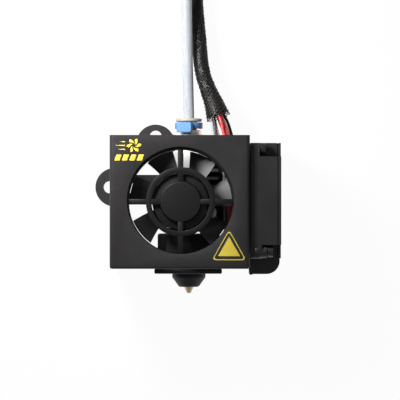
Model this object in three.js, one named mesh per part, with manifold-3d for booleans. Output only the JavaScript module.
// Hotend assembly of a desktop 3-D printer, lying on its back plate.
// Millimetres. +X right, +Y from the nozzle towards the cords, +Z from the back plate to the fan.
// The origin is on the plate's rear face, under the nozzle's axis and level with the fan.
import * as THREE from 'three';
import { mergeVertices } from 'three/addons/utils/BufferGeometryUtils.js';
import Module from 'manifold-3d';

const wasm = await Module();
wasm.setup();

// ---------- driving dimensions ----------
const GAP = 0.3;              // air between neighbouring pieces
const THROUGH = 1;            // how far a cutter runs past the face it cuts
const AXIS_Z = 11.3;          // height of the nozzle's axis above the plate's rear face
const PLATE = 3;              // back plate thickness

const M3_SHANK_R = 1.45;
const M3_CLEAR_R = 1.8;
const M3_HEAD_R = 2.7;
const M25_SHANK_R = 1.25;
const M25_CLEAR_R = 1.6;
const M25_HEAD_R = 2.2;

const SHEET = 1;              // shroud sheet thickness
const FRONT_Z = 44;           // outer face of the shroud
const SHROUD_X = [-28.1, 21.9];
const SHROUD_Y = [-24.4, 23.3];
const SHROUD_HOLE_R = 19.1;
const STUD_R = 1.4;

const FAN_X = -2.8;
const FAN_Y = -0.5;
const FAN_SIZE = 40;
const FAN_BACK_Z = 33;
const FAN_DEPTH = 9.7;
const FAN_BORE_R = 18.6;
const FAN_HOLE_OFFSET = 16;
const FAN_HOLE_R = 1.75;
const BLADES = 7;
const BLADE_TIP_R = 18.3;
const HUB_R = 10.2;

const BLOWER_X = 22.2;        // inner face of the blower, against the shroud
const BLOWER_Y = 0.6;
const BLOWER_Z = 22;
const BLOWER_SIZE = 40;
const BLOWER_LIP = 1.4;       // the shell runs this much further down, round its outlet
const BLOWER_DEPTH = 10.9;
const BLOWER_BASE = 3.2;      // depth of the square base part
const IMPELLER_R = 13.6;
const IMPELLER_BLADES = 18;
const NOTCH = 4.9;            // height of the corner recess over a blower screw
const NOTCH_DEPTH = 5.1;      // how far it runs back from the blower's front

const SINK_X = 10.8;          // heatsink half width
const SINK_Y = [-9.8, 11.5];
const SINK_HALF_DEPTH = 8;
const SINK_FINS = 8;
const FIN = 1.1;
const CORE_X = 5.3;

const BLOCK_X = 10;
const BLOCK_Y = [-25.2, -13.7];
const BLOCK_HALF_DEPTH = 10;
const CARTRIDGE_R = 3;
const SET_SCREW_X = 5;
const THERMISTOR_SCREW_X = 8;
const CARTRIDGE_AT = [-19.5, 7.5];   // [y, z] of the heater bore, from the nozzle's axis
const THERMISTOR_AT = [-22, -5.7];
const BLOCK_SCREW_X = 6.8;
const NOZZLE_TIP_Y = -34.2;

const COLLET_TOP_Y = 30.2;
const CLIP_TILT = 0.24;       // the clip's tab leans this many radians to the left
const CLIP_R = [3.75, 5.1];
const CLIP_Y = [26.4, 28.65];
const CLIP_MOUTH_HALF = 3.4;
const COLLET_STEM_R = 2.95;
const COLLET_FLANGE_Y = 28.96;

const TUBE_R = 2;             // filament tube
const HARNESS_R = 2.8;        // braided sleeve
const STRANDS = 5;            // turns of sleeve lying round each other in the coil
const COIL_X = -27.6;
const COIL_Y = 118;
const COIL_R = 30;            // middle of the sleeve's turns
const STRAND_PITCH_R = HARNESS_R / Math.sin(Math.PI / STRANDS);
const BUNDLE_R = STRAND_PITCH_R + HARNESS_R;
const BUNDLE_Z = BUNDLE_R + 0.05;
const TUBE_PITCH_R = BUNDLE_R + GAP + TUBE_R;

const TAU = Math.PI * 2;

// ---------- materials ----------
function finish(color, roughness, metalness) {
  return new THREE.MeshStandardMaterial({ color, roughness, metalness });
}
const powderCoat = finish(0x3c3a3b, 0.55, 0.3);
const blackPlastic = finish(0x262626, 0.5, 0);
const fanBlack = finish(0x1c1c1d, 0.4, 0);
const steel = finish(0xa9abad, 0.35, 1);
const blackSteel = finish(0x2b2b2d, 0.4, 0.8);
const nickel = finish(0xd7d7d4, 0.22, 1);
const brass = finish(0xc6a15a, 0.3, 1);
const anodised = finish(0x34363a, 0.5, 0.6);
const aluminium = finish(0xb9bcc0, 0.4, 1);
const copper = finish(0xb87333, 0.35, 1);
const silicone = finish(0x26292c, 0.75, 0);
const blueClip = finish(0x4f9fe0, 0.45, 0);
const creamPlastic = finish(0xe9e7df, 0.5, 0);
const ptfe = finish(0xeef0f2, 0.35, 0);
const braid = finish(0x2a2a28, 0.8, 0);
const redWire = finish(0xd23a36, 0.5, 0);
const blackWire = finish(0x1d1d1f, 0.5, 0);
const whiteWire = finish(0xdcdcdc, 0.5, 0);
const magnet = finish(0x4a4644, 0.7, 0.3);
const board = finish(0x1f5b3a, 0.6, 0);

// ---------- shape helpers ----------
function solid(geometry) {
  const bare = geometry.clone();
  bare.deleteAttribute('normal');
  bare.deleteAttribute('uv');
  const merged = mergeVertices(bare);
  const corners = merged.index.array;
  const kept = [];
  for (let i = 0; i < corners.length; i += 3) {
    const [a, b, c] = corners.slice(i, i + 3);
    if (a !== b && b !== c && c !== a) kept.push(a, b, c);
  }
  const vertProperties = merged.attributes.position.array;
  return new wasm.Manifold(new wasm.Mesh({ numProp: 3, vertProperties, triVerts: new Uint32Array(kept) }));
}

function mesh(name, shape, material) {
  const { vertProperties, triVerts } = shape.getMesh();
  const geometry = new THREE.BufferGeometry();
  geometry.setAttribute('position', new THREE.BufferAttribute(vertProperties, 3));
  geometry.setIndex(new THREE.BufferAttribute(triVerts, 1));
  geometry.computeVertexNormals();
  const made = new THREE.Mesh(geometry, material);
  made.name = name;
  return made;
}

// A box between two values on each axis.
function box([x0, x1], [y0, y1], [z0, z1]) {
  const geometry = new THREE.BoxGeometry(x1 - x0, y1 - y0, z1 - z0);
  geometry.translate((x0 + x1) / 2, (y0 + y1) / 2, (z0 + z1) / 2);
  return solid(geometry);
}

// A round bar from one point to another.
function rod(from, to, radius, sides = 12) {
  const start = new THREE.Vector3(...from);
  const end = new THREE.Vector3(...to);
  const along = end.clone().sub(start);
  const geometry = new THREE.CylinderGeometry(radius, radius, along.length(), sides);
  const turn = new THREE.Quaternion().setFromUnitVectors(new THREE.Vector3(0, 1, 0), along.normalize());
  geometry.applyQuaternion(turn);
  const middle = start.add(end).multiplyScalar(0.5);
  geometry.translate(middle.x, middle.y, middle.z);
  return solid(geometry);
}

// A profile of [radius, height] pairs turned about +Y.
function turned(profile, segments = 18) {
  const points = profile.map(([r, y]) => new THREE.Vector2(r, y));
  return solid(new THREE.LatheGeometry(points, segments));
}

// The same, turned about +Z.
function turnedZ(profile, segments = 18) {
  return turned(profile, segments).rotate([90, 0, 0]);
}

// A pipe wall from one height to another, about +Z.
function collar(inner, outer, z0, z1, segments = 16) {
  return turnedZ([[inner, z0], [outer, z0], [outer, z1], [inner, z1], [inner, z0]], segments);
}

// A flat outline raised from z0 to z1.
function raised(shape, z0, z1, curveSegments = 4) {
  const geometry = new THREE.ExtrudeGeometry(shape, { depth: z1 - z0, bevelEnabled: false, curveSegments });
  geometry.translate(0, 0, z0);
  return solid(geometry);
}

function outline(points) {
  return new THREE.Shape(points.map(([x, y]) => new THREE.Vector2(x, y)));
}

function roundedRectangle([x0, x1], [y0, y1], r) {
  const shape = new THREE.Shape();
  shape.moveTo(x0 + r, y0);
  shape.lineTo(x1 - r, y0);
  shape.absarc(x1 - r, y0 + r, r, -Math.PI / 2, 0);
  shape.lineTo(x1, y1 - r);
  shape.absarc(x1 - r, y1 - r, r, 0, Math.PI / 2);
  shape.lineTo(x0 + r, y1);
  shape.absarc(x0 + r, y1 - r, r, Math.PI / 2, Math.PI);
  shape.lineTo(x0, y0 + r);
  shape.absarc(x0 + r, y0 + r, r, Math.PI, Math.PI * 1.5);
  return shape;
}

function hexagon(acrossFlats) {
  const r = acrossFlats / Math.sqrt(3);
  return outline(Array.from({ length: 6 }, (_, i) => [r * Math.cos(i * TAU / 6), r * Math.sin(i * TAU / 6)]));
}

// A slot with round ends between two points.
function slot([ax, ay], [bx, by], halfWidth, z0, z1) {
  const along = Math.atan2(by - ay, bx - ax);
  const shape = new THREE.Shape();
  shape.absarc(bx, by, halfWidth, along - Math.PI / 2, along + Math.PI / 2);
  shape.absarc(ax, ay, halfWidth, along + Math.PI / 2, along + Math.PI * 1.5);
  return raised(shape, z0, z1);
}

function join(shapes) {
  return shapes.reduce((sum, shape) => sum.add(shape));
}

function cut(shape, cutters) {
  return cutters.reduce((left, cutter) => left.subtract(cutter), shape);
}

// A cord along hand-chosen points.
function cord(points, radius, steps, sides = 8) {
  const curve = new THREE.CatmullRomCurve3(points.map((p) => new THREE.Vector3(...p)), false, 'centripetal');
  const section = new THREE.Shape();
  section.absarc(0, 0, radius, 0, TAU);
  const options = { steps, curveSegments: sides / 2, extrudePath: curve, bevelEnabled: false };
  return solid(new THREE.ExtrudeGeometry(section, options));
}

// ---------- back plate ----------
const LEFT_EAR = [-27.6, 4.9];
const TOP_EAR = [-12.4, 21];
const EAR_R = 7.2;
const EAR_SLOT = 2.25;
const TAB_SCREW_LEFT = [-5, 9];      // [y, z]
const TAB_SCREW_RIGHT = [-15.5, 7.2];
const SINK_SCREWS = [[-7.5, 6.5], [7.5, -4.5]];
const LEFT_SLOT_X = [-29.55, -22.6];
const TOP_SLOT_Y = [23.75, 19.5];
const PLATE_OUTLINE = [[-10.6, -10.4], [13, -10.4], [13, -19], [20.6, -19], [20.6, 17.5], [-6, 24.5],
  [-17, 16.2], [-10.6, 14.6]];
const ARM = { x: [-27.6, -10], y: [0.3, 9.5] };          // carries the left ear
const RIM = { x: [-26.2, -23.2], y: [-9.5, 1] };         // carries the left tab
const LEFT_TAB = { x: [-26.5, -24.9], y: [-9.5, -0.5], top: 13.5 };
const RIGHT_TAB = { x: [18.9, 20.6], y: [-19, -12], top: 11.5 };
const TAB_ROOT = 0.5;                                    // how deep a folded tab sits in the plate

function ear([x, y]) {
  return rod([x, y, 0], [x, y, PLATE], EAR_R, 28);
}

function foldedTab({ x, y, top }) {
  return box(x, y, [PLATE - TAB_ROOT, top]);
}

function backPlate() {
  const plate = join([
    raised(outline(PLATE_OUTLINE), 0, PLATE),
    ear(LEFT_EAR),
    ear(TOP_EAR),
    box(ARM.x, ARM.y, [0, PLATE]),
    box(RIM.x, RIM.y, [0, PLATE]),
    foldedTab(LEFT_TAB),
    foldedTab(RIGHT_TAB),
  ]);
  const leftSlot = LEFT_SLOT_X.map((x) => [x, LEFT_EAR[1]]);
  const topSlot = TOP_SLOT_Y.map((y) => [TOP_EAR[0], y]);
  const [leftTabX, rightTabX] = [LEFT_TAB.x, RIGHT_TAB.x];
  const tabHole = ([x0, x1], at, radius) => rod([x0 - THROUGH, ...at], [x1 + THROUGH, ...at], radius);
  return cut(plate, [
    slot(...leftSlot, EAR_SLOT, -THROUGH, PLATE + THROUGH),
    slot(...topSlot, EAR_SLOT, -THROUGH, PLATE + THROUGH),
    tabHole(leftTabX, TAB_SCREW_LEFT, M25_CLEAR_R),
    tabHole(rightTabX, TAB_SCREW_RIGHT, M3_CLEAR_R),
    ...SINK_SCREWS.map(([x, y]) => rod([x, y, -THROUGH], [x, y, PLATE + THROUGH], M3_CLEAR_R)),
  ]);
}

// ---------- fan shroud ----------
const BLOWER_SCREW_UPPER = [18.5, 39.4];   // [y, z]
const BLOWER_SCREW_LOWER = [-18.2, 39.4];
const WIRE_HOLE = [12, 9];                 // [y, z] where the blower's lead comes through
const WIRE_HOLE_R = 2.4;
const SHROUD_BEND = 1.4;
const STUD_END_Z = 30.9;
const DUCT_NOTCH = { y: -21.2, z: 25.3 };  // the right side is cut away here for the blower's duct
const NUT = { acrossFlats: 5.5, thick: 1.8 };

function fanShroud() {
  const [x0, x1] = SHROUD_X;
  const low = PLATE + GAP;
  const channel = new THREE.Shape();
  channel.moveTo(x0, low);
  channel.lineTo(x0 + SHEET, low);
  channel.lineTo(x0 + SHEET, FRONT_Z - SHEET);
  channel.lineTo(x1 - SHEET, FRONT_Z - SHEET);
  channel.lineTo(x1 - SHEET, low);
  channel.lineTo(x1, low);
  channel.absarc(x1 - SHROUD_BEND, FRONT_Z - SHROUD_BEND, SHROUD_BEND, 0, Math.PI / 2);
  channel.absarc(x0 + SHROUD_BEND, FRONT_Z - SHROUD_BEND, SHROUD_BEND, Math.PI / 2, Math.PI);
  const sheet = raised(channel, SHROUD_Y[0], SHROUD_Y[1], 4).rotate([90, 0, 0]).mirror([0, 1, 0]);
  const studs = fanHoles().map(([x, y]) => rod([x, y, STUD_END_Z], [x, y, FRONT_Z - SHEET / 2], STUD_R, 12));
  const left = [x0 - THROUGH, x0 + SHEET + THROUGH];
  const right = [x1 - SHEET - THROUGH, x1 + THROUGH];
  const sideHole = ([from, to], at, radius) => rod([from, ...at], [to, ...at], radius);
  return cut(join([sheet, ...studs]), [
    rod([FAN_X, 0, FRONT_Z - SHEET - THROUGH], [FAN_X, 0, FRONT_Z + THROUGH], SHROUD_HOLE_R, 44),
    box(right, [SHROUD_Y[0] - THROUGH, DUCT_NOTCH.y], [PLATE, DUCT_NOTCH.z]),
    sideHole(left, TAB_SCREW_LEFT, M25_CLEAR_R),
    sideHole(right, TAB_SCREW_RIGHT, M3_CLEAR_R),
    sideHole(right, BLOWER_SCREW_UPPER, M3_CLEAR_R),
    sideHole(right, BLOWER_SCREW_LOWER, M3_CLEAR_R),
    sideHole(right, WIRE_HOLE, WIRE_HOLE_R),
  ]);
}

function shroudScrew() {
  const outside = SHROUD_X[0] - GAP;
  const headThick = 0.8;
  const end = LEFT_TAB.x[1] + 1.5;
  const head = rod([outside - headThick, ...TAB_SCREW_LEFT], [outside, ...TAB_SCREW_LEFT], M25_HEAD_R);
  return head.add(rod([outside - headThick / 2, ...TAB_SCREW_LEFT], [end, ...TAB_SCREW_LEFT], M25_SHANK_R));
}

function fanHoles() {
  const offsets = [-FAN_HOLE_OFFSET, FAN_HOLE_OFFSET];
  return offsets.flatMap((dx) => offsets.map((dy) => [FAN_X + dx, FAN_Y + dy]));
}

function fanNut() {
  const hole = rod([0, 0, -THROUGH], [0, 0, NUT.thick + THROUGH], STUD_R + GAP, 12);
  return raised(hexagon(NUT.acrossFlats), 0, NUT.thick).subtract(hole);
}

// ---------- axial fan, in its own frame: centre of the rear face, +Z forward ----------
const STRUT_Z = 7.6;
const STRUT_HALF = 1;
const MOTOR_PLATE_R = 9.9;
const MOTOR_PLATE_Z = [6.9, 7.9];
const DISC_R = 7.3;                    // raised disc in the middle of the motor plate
const RING_R = [10.6, 12.1];
const BEARING_TUBE_R = [2.2, 3];
const BEARING_R = [1.1, 1.9];
const SHAFT_R = 0.8;
const HUB_Z = [0.5, 6.3];
const HUB_WALL = 1.2;
const HUB_CHAMFER = 0.6;
const MAGNET_R = [7.6, 8.7];

function axialFanFrame() {
  const half = FAN_SIZE / 2;
  const body = raised(roundedRectangle([-half, half], [-half, half], 3), 0, FAN_DEPTH);
  const bore = rod([0, 0, -THROUGH], [0, 0, FAN_DEPTH + THROUGH], FAN_BORE_R, 32);
  const offsets = [-FAN_HOLE_OFFSET, FAN_HOLE_OFFSET];
  const holes = offsets.flatMap((x) => offsets.map(
    (y) => rod([x, y, -THROUGH], [x, y, FAN_DEPTH + THROUGH], FAN_HOLE_R, 12)));
  const strut = box([MOTOR_PLATE_R - 1, FAN_BORE_R + 0.6], [-STRUT_HALF, STRUT_HALF], [STRUT_Z, FAN_DEPTH]);
  const struts = [0, 1, 2, 3].map((i) => strut.rotate([0, 0, 90 * i]));
  const ring = collar(...RING_R, STRUT_Z, FAN_DEPTH, 24);
  const [low, high] = MOTOR_PLATE_Z;
  const motorPlate = turnedZ([[0, low], [MOTOR_PLATE_R, low], [MOTOR_PLATE_R, high], [DISC_R, high],
    [DISC_R, FAN_DEPTH], [0, FAN_DEPTH]], 24);
  const bearingTube = collar(...BEARING_TUBE_R, 1.8, low + 0.5, 12);
  return join([cut(body, [bore, ...holes]), ...struts, ring, motorPlate, bearingTube]);
}

// A curved, pitched blade between the hub and the tip radius.
function blade() {
  const chordSteps = 3;
  const radialSteps = 2;
  const thick = 0.9;
  const rearZ = 0.7;
  const rise = 4.9;
  const sweep = 32 * Math.PI / 180;
  const lean = 5 * Math.PI / 180;
  const inner = HUB_R - 0.5;
  const positions = [];
  for (const side of [0, thick]) {
    for (let i = 0; i <= radialSteps; i += 1) {
      const r = inner + (BLADE_TIP_R - inner) * i / radialSteps;
      for (let j = 0; j <= chordSteps; j += 1) {
        const t = j / chordSteps;
        const angle = lean * i / radialSteps + sweep * t;
        const z = rearZ + side + rise * (1 - t) ** 1.25;
        positions.push(r * Math.cos(angle), r * Math.sin(angle), z);
      }
    }
  }
  return solid(sheetGeometry(positions, radialSteps, chordSteps));
}

// Closes two matching grids of points, one behind the other, into a slab.
function sheetGeometry(positions, rows, columns) {
  const across = columns + 1;
  const layer = (rows + 1) * across;
  const index = [];
  const quad = (a, b, c, d) => index.push(a, b, c, a, c, d);
  for (let i = 0; i < rows; i += 1) {
    for (let j = 0; j < columns; j += 1) {
      const a = i * across + j;
      quad(a, a + 1, a + across + 1, a + across);
      quad(layer + a, layer + a + across, layer + a + across + 1, layer + a + 1);
    }
  }
  for (let j = 0; j < columns; j += 1) {
    const far = rows * across + j;
    quad(j + 1, j, layer + j, layer + j + 1);
    quad(far, far + 1, layer + far + 1, layer + far);
  }
  for (let i = 0; i < rows; i += 1) {
    const a = i * across;
    const b = a + columns;
    quad(a, a + across, layer + a + across, layer + a);
    quad(b + across, b, layer + b, layer + b + across);
  }
  const geometry = new THREE.BufferGeometry();
  geometry.setAttribute('position', new THREE.Float32BufferAttribute(positions, 3));
  geometry.setIndex(index);
  return geometry;
}

function axialFanRotor() {
  const [low, high] = HUB_Z;
  const inside = HUB_R - HUB_WALL;
  const hub = turnedZ([[0, low], [HUB_R - HUB_CHAMFER, low], [HUB_R, low + HUB_CHAMFER], [HUB_R, high],
    [inside, high], [inside, low + 1], [0, low + 1]], 24);
  const blades = [];
  for (let i = 0; i < BLADES; i += 1) {
    blades.push(blade().rotate([0, 0, 94 + i * 360 / BLADES]));
  }
  return join([hub, ...blades]);
}

// ---------- blower, in its own frame: +Z away from the shroud, +X towards the back plate ----------
function scroll() {
  const half = BLOWER_SIZE / 2;
  return roundedRectangle([-half, half], [BLOWER_BOTTOM, half], 3.6);
}

const BLOWER_BOTTOM = -BLOWER_SIZE / 2 - BLOWER_LIP;
const BLOWER_TOP = BLOWER_DEPTH - 1;   // inner face of the cover
const BLOWER_FLOOR = 1.2;
const BLOWER_CHAMBER_R = 15.4;
const BLOWER_STEP = 0.6;               // the base part's front edge lies this far behind the wall's
const LOWER_NOTCH_Z = 4;
const LOWER_BOSS = { r: 2.4, top: 5.8 };
const INTAKE_R = 11;
const ROTOR_Y = 1;                     // the impeller's axis lies this far above the middle
const OUTLET_X = [-1.6, 17.6];

function blowerNotch(y0, y1, from) {
  const front = -BLOWER_SIZE / 2;
  return box([front - THROUGH, front + NOTCH_DEPTH], [y0, y1], [from, BLOWER_DEPTH + THROUGH]);
}

function blowerScrewPlace([y, z]) {
  return [BLOWER_Z - z, y - BLOWER_Y];
}

function blowerHousing() {
  const half = BLOWER_SIZE / 2;
  const square = roundedRectangle([BLOWER_STEP - half, half], [BLOWER_BOTTOM, half], 1.5);
  const base = raised(square, 0, BLOWER_BASE, 4);
  const wall = raised(scroll(), BLOWER_BASE - 0.5, BLOWER_TOP - GAP, 5);
  const upper = blowerScrewPlace(BLOWER_SCREW_UPPER);
  const lower = blowerScrewPlace(BLOWER_SCREW_LOWER);
  const rear = blowerScrewPlace(TAB_SCREW_RIGHT);
  const wire = [BLOWER_Z - WIRE_HOLE[1], WIRE_HOLE[0] - BLOWER_Y];
  const shell = cut(base.add(wall), [
    blowerNotch(half - NOTCH, half + THROUGH, BLOWER_BASE),
    blowerNotch(BLOWER_BOTTOM - THROUGH, BLOWER_BOTTOM + NOTCH, LOWER_NOTCH_Z),
    rod([0, ROTOR_Y, BLOWER_FLOOR], [0, ROTOR_Y, BLOWER_DEPTH], BLOWER_CHAMBER_R, 30),
    box(OUTLET_X, [BLOWER_BOTTOM - THROUGH, -6], [BLOWER_FLOOR, BLOWER_TOP - BLOWER_FLOOR]),
    rod([...upper, -THROUGH], [...upper, BLOWER_DEPTH], M3_CLEAR_R),
    rod([...wire, -THROUGH], [...wire, 3], WIRE_HOLE_R),
  ]);
  const ear = rod([...rear, 0.6], [...rear, BLOWER_TOP - GAP], 3.2, 16);
  const tongue = box([-2.4, -1.2], [BLOWER_BOTTOM, -14], [0.8, BLOWER_TOP - GAP]);
  const bearingTube = collar(...BEARING_TUBE_R, 0.8, 6.2, 20).translate([0, ROTOR_Y, 0]);
  const boss = rod([...lower, BLOWER_BASE / 2], [...lower, LOWER_BOSS.top], LOWER_BOSS.r, 16);
  return cut(join([shell, ear, tongue, bearingTube, boss]), [
    rod([...rear, -THROUGH], [...rear, BLOWER_DEPTH], M3_CLEAR_R),
    rod([...lower, -THROUGH], [...lower, BLOWER_DEPTH], M3_CLEAR_R),
  ]);
}

function blowerCover() {
  const half = BLOWER_SIZE / 2;
  const rear = blowerScrewPlace(TAB_SCREW_RIGHT);
  return cut(raised(scroll(), BLOWER_TOP, BLOWER_DEPTH, 5), [
    blowerNotch(half - NOTCH, half + THROUGH, BLOWER_BASE),
    blowerNotch(BLOWER_BOTTOM - THROUGH, BLOWER_BOTTOM + NOTCH, LOWER_NOTCH_Z),
    rod([0, ROTOR_Y, BLOWER_TOP - THROUGH], [0, ROTOR_Y, BLOWER_DEPTH + THROUGH], INTAKE_R, 28),
    rod([...rear, BLOWER_TOP - THROUGH], [...rear, BLOWER_DEPTH + THROUGH], 3.4),
  ]);
}

function blowerImpeller() {
  const cup = turnedZ([[0, 7.2], [9.2, 7.2], [9.2, 2.6], [IMPELLER_R, 2.6], [IMPELLER_R, 1.8], [8.2, 1.8],
    [8.2, 6.4], [0, 6.4], [0, 7.2]].reverse(), 24);
  const vanes = [];
  for (let i = 0; i < IMPELLER_BLADES; i += 1) {
    const vane = box([9.8, IMPELLER_R], [-0.35, 0.35], [2.2, 8.4]);
    vanes.push(vane.rotate([0, 0, i * 360 / IMPELLER_BLADES]));
  }
  return join([cup, ...vanes]);
}

function blowerScrew(from, to) {
  const length = from - to;
  const head = rod([0, 0, length], [0, 0, length + 1.9], 2.1, 16);
  const drive = box([-0.35, 0.35], [-1.4, 1.4], [length + 1.1, length + 3]);
  const cross = drive.rotate([0, 0, 90]);
  return cut(head, [drive, cross]).add(rod([0, 0, 0], [0, 0, length + 0.5], M3_SHANK_R, 14));
}

function blowerDuct() {
  const [x0, x1] = [BLOWER_X, BLOWER_X + BLOWER_DEPTH];
  const top = -21.1;
  const bottom = -26.8;
  const mouthTop = -22;
  const bend = 4.8;
  const skin = 1;
  const outer = new THREE.Shape();
  outer.moveTo(x0, top);
  outer.lineTo(x0, bottom - 0.4);
  outer.lineTo(x0 + 1.4, bottom);
  outer.absarc(x1 - bend, bottom + bend, bend, -Math.PI / 2, 0);
  outer.lineTo(x1, top);
  const inner = new THREE.Shape();
  inner.moveTo(x0 + skin, top + THROUGH);
  inner.lineTo(x0 + skin, mouthTop);
  inner.lineTo(x0 - THROUGH, mouthTop);
  inner.lineTo(x0 - THROUGH, bottom + skin - 0.5);
  inner.lineTo(x0 + 1.6, bottom + skin);
  inner.absarc(x1 - bend, bottom + bend, bend - skin, -Math.PI / 2, 0);
  inner.lineTo(x1 - skin, top + THROUGH);
  return raised(outer, 4, 24, 6).subtract(raised(inner, 4 + skin, 24 - skin, 6));
}

// ---------- hot end, in its own frame: the nozzle's axis is the Y axis ----------
function heatsink() {
  const pitch = (SINK_Y[1] - SINK_Y[0] - FIN) / (SINK_FINS - 1);
  const fins = [];
  for (let i = 0; i < SINK_FINS; i += 1) {
    const y = SINK_Y[0] + i * pitch;
    const depth = i === 0 ? 2.6 : FIN;
    fins.push(box([-SINK_X, SINK_X], [y, y + depth], [-SINK_HALF_DEPTH, SINK_HALF_DEPTH]));
  }
  const core = box([-CORE_X, CORE_X], SINK_Y, [-SINK_HALF_DEPTH, SINK_HALF_DEPTH]);
  const bosses = SINK_SCREWS.map(([x, y]) => rod([x, y, -SINK_HALF_DEPTH], [x, y, SINK_HALF_DEPTH], 2.8, 16));
  return cut(join([...fins, core, ...bosses]), [
    ...SINK_SCREWS.map(
      ([x, y]) => rod([x, y, -SINK_HALF_DEPTH - THROUGH], [x, y, SINK_HALF_DEPTH + THROUGH], M3_CLEAR_R, 14)),
    rod([0, SINK_Y[0] - THROUGH, 0], [0, 3, 0], 3.3),
    rod([0, 2, 0], [0, SINK_Y[1] + THROUGH, 0], 4.8),
    ...[-BLOCK_SCREW_X, BLOCK_SCREW_X].map(
      (x) => rod([x, SINK_Y[0] - THROUGH, 0], [x, SINK_Y[0] + 2.2, 0], M25_CLEAR_R, 14)),
  ]);
}

function heatsinkScrew() {
  const head = rod([0, 0, SINK_HALF_DEPTH + GAP], [0, 0, SINK_HALF_DEPTH + 2.6], M3_HEAD_R);
  const socket = raised(hexagon(2.5), SINK_HALF_DEPTH + 1.2, SINK_HALF_DEPTH + 4);
  return head.subtract(socket).add(rod([0, 0, GAP - AXIS_Z], [0, 0, SINK_HALF_DEPTH + 1], M3_SHANK_R, 14));
}

function heatBreak() {
  return turned([[2, -19.2], [3, -19.2], [3, -13.2], [2.6, -12.9], [2.6, -10.6], [3, -10.3], [3, 1.6],
    [2, 1.6], [2, -19.2]], 18);
}

function seatedTube() {
  return turned([[1, -19.4], [1.7, -19.4], [1.7, 10.1], [1, 10.1], [1, -19.4]], 14);
}

function heaterBlock() {
  const body = box([-BLOCK_X, BLOCK_X], BLOCK_Y, [-8, 12]);
  const [cy, cz] = CARTRIDGE_AT;
  const [ty, tz] = THERMISTOR_AT;
  const screwCutters = [-BLOCK_SCREW_X, BLOCK_SCREW_X].flatMap((x) => [
    rod([x, BLOCK_Y[0] - THROUGH, 0], [x, BLOCK_Y[1] + THROUGH, 0], M25_CLEAR_R, 14),
    rod([x, BLOCK_Y[0] - THROUGH, 0], [x, BLOCK_Y[0] + 2.2, 0], 2.5, 18),
  ]);
  return cut(body, [
    rod([0, BLOCK_Y[0] - THROUGH, 0], [0, BLOCK_Y[1] + THROUGH, 0], 3.3),
    rod([-BLOCK_X - THROUGH, cy, cz], [BLOCK_X + THROUGH, cy, cz], 3.3),
    rod([1, ty, tz], [BLOCK_X + THROUGH, ty, tz], 1.5, 14),
    rod([SET_SCREW_X, cy, cz], [SET_SCREW_X, BLOCK_Y[1] + THROUGH, cz], M3_CLEAR_R, 14),
    rod([THERMISTOR_SCREW_X, BLOCK_Y[1] - 2.6, tz], [THERMISTOR_SCREW_X, BLOCK_Y[1] + THROUGH, tz], 1.3, 12),
    ...screwCutters,
  ]);
}

function blockScrew() {
  const seat = BLOCK_Y[0] + 2.2 - GAP;
  const head = rod([0, BLOCK_Y[0] + 0.1, 0], [0, seat, 0], M25_HEAD_R, 18);
  return head.add(rod([0, seat - 0.5, 0], [0, SINK_Y[0] + 1.9, 0], M25_SHANK_R, 12));
}

function heaterCartridge() {
  const [y, z] = CARTRIDGE_AT;
  return rod([-9.6, y, z], [10.4, y, z], CARTRIDGE_R, 20);
}

function heaterSetScrew() {
  const [y, z] = CARTRIDGE_AT;
  const bar = rod([SET_SCREW_X, y + CARTRIDGE_R + GAP, z], [SET_SCREW_X, BLOCK_Y[1] - 0.2, z], 1.5, 14);
  const socket = raised(hexagon(1.5), 0, 2).rotate([-90, 0, 0]);
  return bar.subtract(socket.translate([SET_SCREW_X, BLOCK_Y[1] - 1.2, z]));
}

function thermistor() {
  const [y, z] = THERMISTOR_AT;
  return rod([1.6, y, z], [10.2, y, z], 1.2, 14);
}

function thermistorScrew() {
  const z = THERMISTOR_AT[1];
  const top = BLOCK_Y[1];
  const head = rod([THERMISTOR_SCREW_X, top + GAP, z], [THERMISTOR_SCREW_X, top + 1.3, z], 1.9, 16);
  return head.add(rod([THERMISTOR_SCREW_X, top - 2.2, z], [THERMISTOR_SCREW_X, top + 0.5, z], 1, 12));
}

function nozzle() {
  const body = turned([[0, NOZZLE_TIP_Y], [0.62, NOZZLE_TIP_Y], [3, -29.3], [3, -19.8], [0, -19.8]], 20);
  const hex = raised(hexagon(6.2), 0, 3.3).rotate([-90, 0, 0]).translate([0, -28.9, 0]);
  const melt = rod([0, NOZZLE_TIP_Y + 1.2, 0], [0, -19, 0], 0.9, 8);
  const orifice = rod([0, NOZZLE_TIP_Y - THROUGH, 0], [0, NOZZLE_TIP_Y + 2, 0], 0.2, 6);
  return cut(body.add(hex), [melt, orifice]);
}

function siliconeSock() {
  const lip = box([-12.5, 12.1], [-26.7, -24.9], [-9.5, 13.5]);
  const sleeve = box([-11.3, 11.3], [-25.5, -12.3], [-9.3, 13.3]);
  const boot = turned([[0, -31.85], [3.4, -31.85], [3.9, -31.5], [6.15, -28.3], [6.15, -26], [0, -26]], 24);
  return cut(join([lip, sleeve, boot]), [
    box([-BLOCK_X - GAP, BLOCK_X + GAP], [BLOCK_Y[0] - GAP, -11], [-8.3, 12.3]),
    box([BLOCK_X, 13], [-23.4, -14.4], [-7.4, 11.3]),
    rod([0, -30.4, 0], [0, -24, 0], 3.9, 18),
    rod([0, -33, 0], [0, -30, 0], 2.75, 18),
  ]);
}

function couplerBody() {
  const thread = rod([0, 4.5, 0], [0, 12, 0], 4.5, 18);
  const hex = raised(hexagon(12), 0, 6.3).rotate([-90, 0, 0]).translate([0, SINK_Y[1] + GAP, 0]);
  const barrel = turned([[0, 17.5], [5.2, 17.5], [5.2, 24.2], [4.6, 24.7], [4.6, 25.9], [0, 25.9]], 24);
  return cut(join([thread, hex, barrel]), [
    rod([0, 10.4, 0], [0, 27, 0], TUBE_R + GAP, 18),
    rod([0, 4, 0], [0, 11, 0], TUBE_R, 18),
    rod([0, 19.2, 0], [0, 27, 0], 3.4, 20),
  ]);
}

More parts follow.
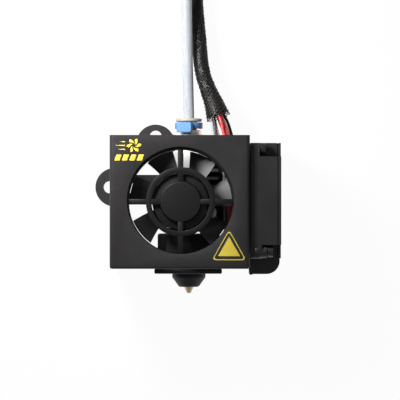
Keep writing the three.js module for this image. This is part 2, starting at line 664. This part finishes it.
function couplerCollet() {
  const bore = TUBE_R + GAP;
  return turned([[bore, 19.8], [COLLET_STEM_R, 19.8], [COLLET_STEM_R, COLLET_FLANGE_Y],
    [4.4, COLLET_FLANGE_Y], [4.85, 29.3], [4.85, 29.9], [4.5, COLLET_TOP_Y], [bore, COLLET_TOP_Y], [bore, 19.8]], 24);
}

function couplerClip() {
  const [inner, outer] = CLIP_R;
  const [low, high] = CLIP_Y;
  const ring = turned([[inner, low], [outer, low], [outer, high], [inner, high], [inner, low]], 24);
  const mouthX = [-CLIP_MOUTH_HALF, CLIP_MOUTH_HALF];
  const mouth = box(mouthX, [low - THROUGH, high + THROUGH], [-outer - THROUGH, 0]);
  const neck = box([-2.5, 2.5], CLIP_Y, [4.2, 6]);
  const tab = raised(roundedRectangle([-2.8, 2.8], [24.9, high], 0.8), 5.25, 7.7);
  return join([ring.subtract(mouth), neck, tab]).rotate([0, -CLIP_TILT * 360 / TAU, 0]);
}

// ---------- cords ----------
const TUBE_ROUTE = [[0, 10.7, 11.3], [0, 20, 11.3], [0, 30.3, 11.3], [-0.15, 37, 11.4], [-0.35, 44, 11.8],
  [-0.55, 52, 12.5], [-0.7, 60, 13.3], [-0.85, 68, 14.2], [-0.95, 76, 15.1], [-1, 84, 16], [-1, 91, 16.8],
  [-1, 98, 17.4], [-1, 105, 17.6], [-1, 111.7, 17.5]];
const SLEEVE_ROUTE = [[11, 30.4, 13], [9.2, 35.6, 12.2], [7.1, 41, 10.9], [5.5, 45.5, 9.9], [4.6, 50, 9.2],
  [4.1, 55, 8.5], [3.6, 61, 7.6], [3, 67, 6.8], [2.5, 74, 5.6], [2.4, 80, 4.4], [2.4, 86, 3.5],
    [2.4, 92, 3.05],
  [2.4, 96, 3], [2.4, 100, 3]];

// The coil's cut plane holds [inward, up] places, counted from the middle of the bundle.
function bandOutline(offset) {
  const rounds = [[0, 0, BUNDLE_R - 0.95], [5.4, 5.8, 6.6]];
  const steps = 20;
  const points = [];
  for (let i = 0; i < steps; i += 1) {
    const a = i * TAU / steps;
    const reach = ([u, v, r]) => u * Math.cos(a) + v * Math.sin(a) + r;
    const [u, v, r] = reach(rounds[0]) > reach(rounds[1]) ? rounds[0] : rounds[1];
    points.push([u + (r + offset) * Math.cos(a), v + (r + offset) * Math.sin(a)]);
  }
  return outline(points);
}

function band(innerOffset, outerOffset, width, angle) {
  const loop = raised(bandOutline(outerOffset), -width / 2, width / 2)
    .subtract(raised(bandOutline(innerOffset), -width, width));
  return loop.rotate([90, 0, 0]).translate([-COIL_R, 0, BUNDLE_Z]).rotate([0, 0, angle + 180])
    .translate([COIL_X, COIL_Y, 0]);
}

const TIE_ANGLES = [115, 235];

function coilGrooves() {
  return TIE_ANGLES.map((angle) => band(-GAP, 6, 3.2, angle));
}

function coilRing(profile) {
  return turnedZ(profile, 32).translate([COIL_X, COIL_Y, BUNDLE_Z]);
}

function harnessCoil() {
  const profile = [];
  const sides = 10;
  for (let i = 0; i <= sides; i += 1) {
    const a = i * TAU / sides;
    profile.push([COIL_R + BUNDLE_R * Math.sin(-a), BUNDLE_R * Math.cos(a)]);
  }
  const inlet = rod([2.4, 86, 3], [2.4, 100.3, 3], HARNESS_R + 0.6, 10);
  return cut(coilRing(profile), [...coilGrooves(), inlet]);
}

function tubeCoil() {
  const steps = 3;
  const [from, to] = [10, 80];
  const arc = (radius, degrees) => {
    const a = degrees * TAU / 360;
    return [COIL_R - radius * Math.sin(a), radius * Math.cos(a)];
  };
  const profile = [];
  for (let i = 0; i <= steps; i += 1) {
    profile.push(arc(TUBE_PITCH_R + TUBE_R, from + (to - from) * i / steps));
  }
  for (let i = steps; i >= 0; i -= 1) {
    profile.push(arc(TUBE_PITCH_R - TUBE_R, from + (to - from) * i / steps));
  }
  profile.push(profile[0]);
  const inlet = rod([-1, 98, 17.5], [-1, 112, 17.5], TUBE_R + 0.5, 10);
  return cut(coilRing(profile), [...coilGrooves(), inlet]);
}

function plugHousing() {
  const body = box([-3.9, 3.9], [-5.5, 5.5], [0.05, 5.8]);
  const sockets = [-1.25, 1.25].map((x) => box([x - 0.6, x + 0.6], [-6, -1], [2.2, 3.6]));
  const wireHoles = [-1.25, 1.25].map((x) => rod([x, 2, 2.9], [x, 7, 2.9], 0.9, 10));
  return cut(body, [...sockets, ...wireHoles]);
}

function ferrule() {
  return turned([[0, -5.5], [0.85, -5.5], [0.85, 1.5], [1.7, 3.2], [1.7, 6], [0, 6]], 16);
}

// ---------- wires between the pieces and the sleeve's mouth ----------
const THIN = 0.55;
const WIRES = [
  ['heater_wire_1', redWire, 1.05, [[11, -18, 18.8], [12.6, -17.7, 19], [14.6, -15.5, 20], [15.2, -9, 21],
    [15.3, 0, 21.5], [15, 9, 21], [14.6, 17, 19.5], [13.9, 23, 17.2], [12.9, 27, 15.3], [12.1, 29.3, 14.5]]],
  ['heater_wire_2', redWire, 1.05, [[11, -20.9, 18.8], [13.2, -20.8, 18.8], [16.4, -18, 18.8],
    [17.4, -10, 18.6], [17.4, 0, 18.4], [17, 9, 18], [16, 17, 16.7], [14.4, 23, 14.5], [13.2, 27, 12.6],
    [12.4, 29, 11.9]]],
  ['thermistor_wire_1', whiteWire, 0.45, [[10.6, -21.4, 5.6], [12.4, -20.6, 6], [13.6, -16, 9],
    [13.2, -8, 12], [12.9, 0, 14], [12.9, 8, 16], [12.4, 15, 17.5], [10.1, 21, 16.5], [8.7, 26, 14.4],
    [8.6, 28.6, 13.6]]],
  ['thermistor_wire_2', whiteWire, 0.45, [[10.6, -22.6, 5.6], [13, -22, 5.6], [15, -17, 8], [14.6, -8, 11],
    [14.2, 0, 12.5], [14.2, 8, 14], [13.4, 15, 15.5], [11.7, 21, 14.6], [10.4, 26, 12.4], [9.9, 28.4, 11.7]]],
  ['fan_wire_red', redWire, THIN, [[17.95, 1.2, 39.6], [18.8, 2, 38.8], [19, 5, 34], [17.6, 10, 27],
    [15.6, 15, 23.5], [14.2, 20.5, 20.6], [12.6, 25, 18.2], [11.9, 28.6, 16.8]]],
  ['fan_wire_black', blackWire, THIN, [[17.95, -0.4, 39.6], [19.4, 0.2, 38.2], [19.6, 3, 32], [17.8, 8, 24.6],
    [14.8, 14, 22.8], [11.6, 19.5, 19.6], [10.1, 24.5, 16.8], [9.5, 28.3, 15.2]]],
  ['blower_wire_red', redWire, THIN, [[22.9, 12.8, 9], [20.2, 13.2, 9], [17.8, 16, 10], [15.2, 21, 11.2],
    [12.6, 26, 10.6], [11.5, 28.6, 10.3]]],
  ['blower_wire_black', blackWire, THIN, [[22.9, 11, 9], [20, 10.8, 9.2], [18.4, 14, 11.2], [16.8, 20, 12.2],
    [15.3, 25.8, 11.7], [14.3, 28.8, 11]]],
];

// ---------- assembly ----------
const hotend = new THREE.Group();

hotend.add(mesh('back_plate', backPlate(), powderCoat));
hotend.add(mesh('fan_shroud', fanShroud(), powderCoat));
hotend.add(mesh('shroud_screw', shroudScrew(), blackSteel));
fanHoles().forEach(([x, y], i) => {
  const nut = mesh(`fan_nut_${i + 1}`, fanNut(), steel);
  nut.position.set(x, y, FAN_BACK_Z - GAP - 1.8);
  hotend.add(nut);
});

const axialFan = new THREE.Group();
axialFan.position.set(FAN_X, FAN_Y, FAN_BACK_Z);
axialFan.add(mesh('axial_fan_frame', axialFanFrame(), fanBlack));
axialFan.add(mesh('axial_fan_rotor', axialFanRotor(), fanBlack));
axialFan.add(mesh('axial_fan_magnet_ring', collar(...MAGNET_R, 1.8, 5.4, 20), magnet));
axialFan.add(mesh('axial_fan_shaft', rod([0, 0, 1.8], [0, 0, 6.4], SHAFT_R, 14), steel));
axialFan.add(mesh('axial_fan_bearing', collar(...BEARING_R, 2.2, 6.2, 16), brass));
axialFan.add(mesh('axial_fan_stator', collar(3.3, 7.1, 2.2, 5.3), copper));
axialFan.add(mesh('axial_fan_pcb', collar(3.3, 8.2, 5.75, 6.5), board));
hotend.add(axialFan);

const blower = new THREE.Group();
blower.position.set(BLOWER_X, BLOWER_Y, BLOWER_Z);
blower.rotation.y = Math.PI / 2;
blower.add(mesh('blower_housing', blowerHousing(), blackPlastic));
blower.add(mesh('blower_cover', blowerCover(), blackPlastic));
const blowerDrive = new THREE.Group();
blowerDrive.position.set(0, ROTOR_Y, 0);
blowerDrive.add(mesh('blower_impeller', blowerImpeller(), fanBlack));
blowerDrive.add(mesh('blower_shaft', rod([0, 0, 1.5], [0, 0, 6.1], SHAFT_R, 14), steel));
blowerDrive.add(mesh('blower_bearing', collar(...BEARING_R, 1.5, 5.9, 16), brass));
blowerDrive.add(mesh('blower_stator', collar(3.3, 7.4, 1.5, 5.8), copper));
blower.add(blowerDrive);
[['blower_screw_upper', BLOWER_SCREW_UPPER, BLOWER_BASE + GAP, -3.4],
  ['blower_screw_lower', BLOWER_SCREW_LOWER, LOWER_BOSS.top + GAP, -3.4],
  ['blower_screw_rear', TAB_SCREW_RIGHT, BLOWER_TOP, -4.6]].forEach(([name, at, from, to]) => {
  const screw = mesh(name, blowerScrew(from, to), blackSteel);
  screw.position.set(...blowerScrewPlace(at), to);
  blower.add(screw);
});
hotend.add(blower);
hotend.add(mesh('blower_duct', blowerDuct(), blackPlastic));

const hot = new THREE.Group();
hot.position.set(0, 0, AXIS_Z);
hot.add(mesh('heatsink', heatsink(), anodised));
SINK_SCREWS.forEach(([x, y], i) => {
  const screw = mesh(`heatsink_screw_${i + 1}`, heatsinkScrew(), steel);
  screw.position.set(x, y, 0);
  hot.add(screw);
});
hot.add(mesh('heat_break', heatBreak(), steel));
hot.add(mesh('filament_tube_seated_end', seatedTube(), ptfe));
hot.add(mesh('heater_block', heaterBlock(), aluminium));
[-BLOCK_SCREW_X, BLOCK_SCREW_X].forEach((x, i) => {
  const screw = mesh(`block_screw_${i + 1}`, blockScrew(), steel);
  screw.position.x = x;
  hot.add(screw);
});
hot.add(mesh('heater_cartridge', heaterCartridge(), steel));
hot.add(mesh('heater_set_screw', heaterSetScrew(), blackSteel));
hot.add(mesh('thermistor', thermistor(), steel));
hot.add(mesh('thermistor_screw', thermistorScrew(), steel));
hot.add(mesh('nozzle', nozzle(), brass));
hot.add(mesh('silicone_sock', siliconeSock(), silicone));
hot.add(mesh('coupler_body', couplerBody(), nickel));
hot.add(mesh('coupler_collet', couplerCollet(), creamPlastic));
hot.add(mesh('coupler_clip', couplerClip(), blueClip));
hotend.add(hot);

hotend.add(mesh('filament_tube', cord(TUBE_ROUTE, TUBE_R, 22), ptfe));
hotend.add(mesh('filament_tube_coil', tubeCoil(), ptfe));
hotend.add(mesh('harness_sleeve', cord(SLEEVE_ROUTE, HARNESS_R, 20), braid));
hotend.add(mesh('harness_coil', harnessCoil(), braid));
TIE_ANGLES.forEach((angle, i) => {
  hotend.add(mesh(`coil_tie_${i + 1}`, band(0, 0.85, 2.6, angle), blackPlastic));
});
for (const [name, material, radius, points] of WIRES) {
  hotend.add(mesh(name, cord(points, radius, 12), material));
}
[['thermistor_plug', -13, 5], ['axial_fan_plug', -2, 3], ['blower_plug', 9, -2]].forEach(([name, dx, dy]) => {
  const plug = mesh(name, plugHousing(), creamPlastic);
  plug.position.set(COIL_X + dx, COIL_Y + dy, 0);
  hotend.add(plug);
});
[['heater_ferrule_1', -8, -8], ['heater_ferrule_2', -3.5, -9]].forEach(([name, dx, dy]) => {
  const tip = mesh(name, ferrule(), steel);
  tip.position.set(COIL_X + dx, COIL_Y + dy, 1.8);
  tip.rotation.z = Math.PI;
  hotend.add(tip);
});

export default hotend;
